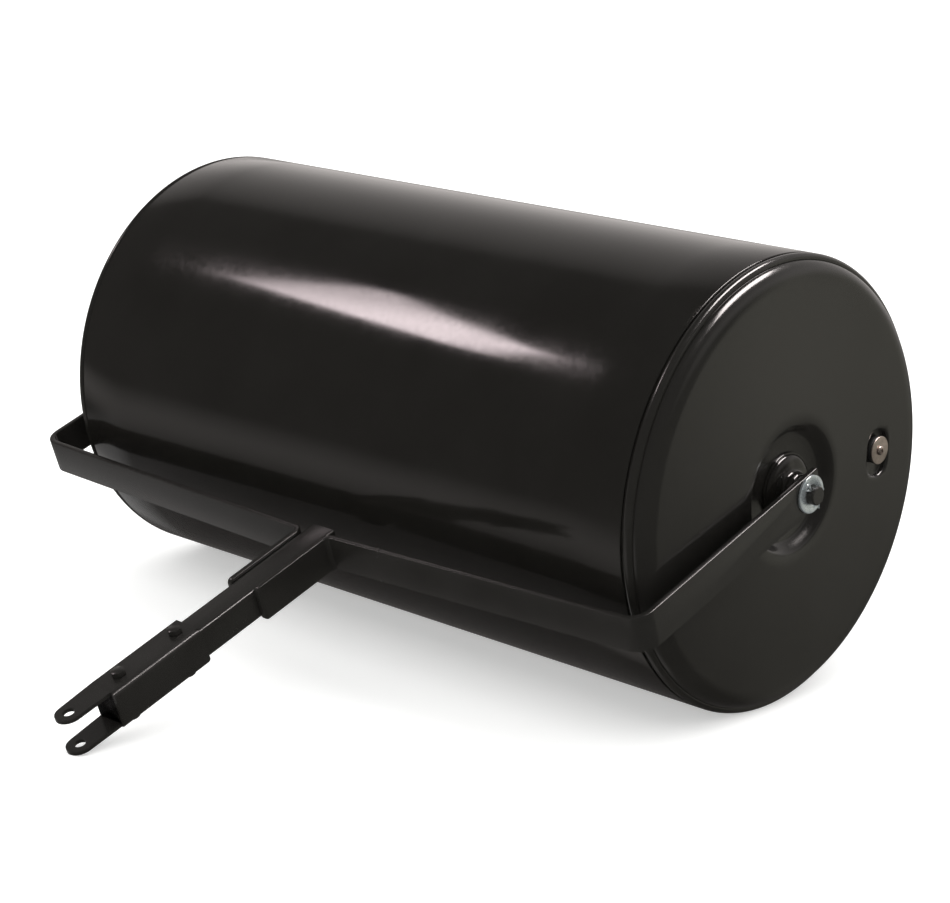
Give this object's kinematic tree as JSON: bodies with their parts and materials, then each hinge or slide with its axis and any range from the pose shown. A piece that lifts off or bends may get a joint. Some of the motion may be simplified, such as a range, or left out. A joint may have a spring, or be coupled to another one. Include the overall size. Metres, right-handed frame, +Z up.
{
  "type": "lawn roller",
  "caption": "Tow-behind lawn roller: a water-ballast steel drum turning on an axle in a flat-bar frame, with a square tongue and a clevis hitch.",
  "frame": {"origin": "middle of the object's base, on the ground", "axes": "+X the way the roller is towed, +Y to the roller's left along the drum's axle, +Z up"},
  "size_m": [0.8168, 0.8936, 0.4572],
  "materials": {
    "drum_enamel": "glossy black enamel",
    "frame_enamel": "satin black enamel",
    "zinc_plate": "bright zinc plate",
    "plain_steel": "plain stamped steel",
    "plug_rubber": "matte black rubber",
    "nylon": "natural nylon"
  },
  "bodies": {
    "frame": {"axle": "frame_enamel", "inner_washer_left": "zinc_plate", "inner_washer_right": "zinc_plate", "outer_washer_left": "zinc_plate", "outer_washer_right": "zinc_plate", "cotter_pin_left": "zinc_plate", "cotter_pin_right": "zinc_plate", "frame_bar_left": "frame_enamel", "frame_bar_right": "frame_enamel", "tongue_tube": "frame_enamel", "hitch_channel": "frame_enamel", "hitch_bolt_rear": "frame_enamel", "hitch_bolt_front": "frame_enamel", "hitch_lock_washer_rear": "frame_enamel", "hitch_lock_washer_front": "frame_enamel", "hitch_nut_rear": "frame_enamel", "hitch_nut_front": "frame_enamel"},
    "drum": {"drum_shell": "drum_enamel", "drum_head_left": "drum_enamel", "drum_head_right": "drum_enamel", "hub_boss_left": "drum_enamel", "hub_boss_right": "drum_enamel", "axle_tube": "frame_enamel", "axle_bush_left": "nylon", "axle_bush_right": "nylon"},
    "filler_plug": {"plug_body": "plug_rubber", "plug_disc": "plain_steel", "plug_screw": "plain_steel", "plug_clamp_washer": "plain_steel", "plug_nut": "plain_steel"}
  },
  "joints": [
    {"name": "drum_spin", "type": "hinge", "parent": "frame", "child": "drum", "pos_m": [-0.17978, 0, 0.2286], "axis": [0, 1, 0], "continuous": true},
    {"name": "filler_plug_pull", "type": "slide", "parent": "drum", "child": "filler_plug", "axis": [0, 1, 0], "range_m": [0, 0.03]}
  ]
}
